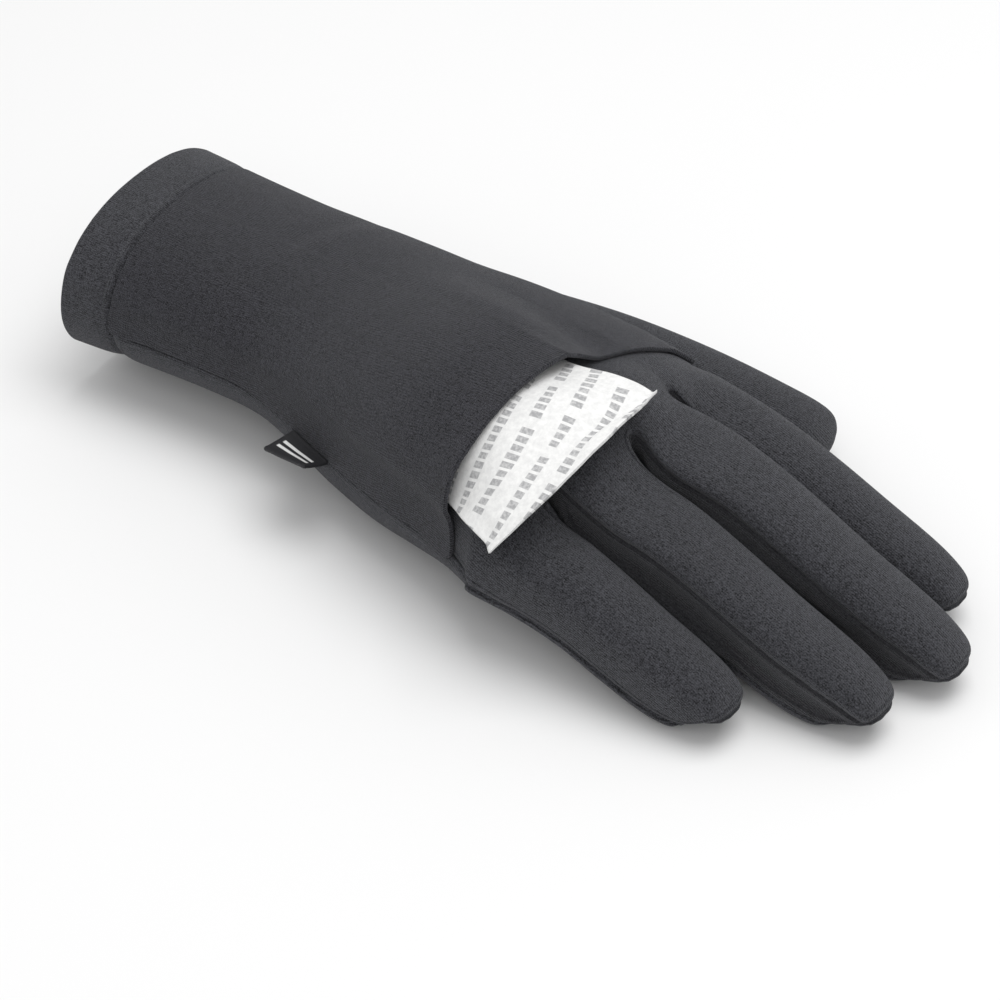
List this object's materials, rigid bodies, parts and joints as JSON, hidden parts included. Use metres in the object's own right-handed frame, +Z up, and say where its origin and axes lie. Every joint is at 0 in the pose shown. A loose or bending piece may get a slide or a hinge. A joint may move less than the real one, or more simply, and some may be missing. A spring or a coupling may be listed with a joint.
{
  "type": "glove liner",
  "caption": "Right-hand black knitted glove liner, palm down, with a pocket on the back of the hand holding a white warmer pouch.",
  "frame": {"origin": "centre of the base of the bounding box, on the surface that the glove lies on, palm down", "axes": "+Y from the cuff to the fingertips, +X from the thumb's side to the little finger's, +Z up, out of the back of the hand"},
  "size_m": [0.1158, 0.2443, 0.0588],
  "materials": {
    "back_panel_knit": "black knitted jersey, matt, with a light fuzz",
    "palm_panel_knit": "black knitted jersey, matt, with a light fuzz",
    "thumb_knit": "black knitted jersey, matt, with a light fuzz",
    "cuff_hem_knit": "black knitted jersey, matt, with a light fuzz",
    "fourchette_index_middle_knit": "black knitted jersey, matt, with a light fuzz",
    "fourchette_middle_ring_knit": "black knitted jersey, matt, with a light fuzz",
    "fourchette_ring_little_knit": "black knitted jersey, matt, with a light fuzz",
    "pocket_knit": "black knitted jersey, matt, with a light fuzz",
    "pouch_fleece": "white nonwoven cloth with pale grey printed dashes",
    "tab_woven": "tightly woven black tape with two white stripes"
  },
  "bodies": {
    "root": {"back_panel": "back_panel_knit", "palm_panel": "palm_panel_knit", "thumb": "thumb_knit", "cuff_hem": "cuff_hem_knit", "fourchette_index_middle": "fourchette_index_middle_knit", "fourchette_middle_ring": "fourchette_middle_ring_knit", "fourchette_ring_little": "fourchette_ring_little_knit", "pocket_panel": "pocket_knit", "warmer_packet": "pouch_fleece", "side_label": "tab_woven"}
  },
  "joints": []
}
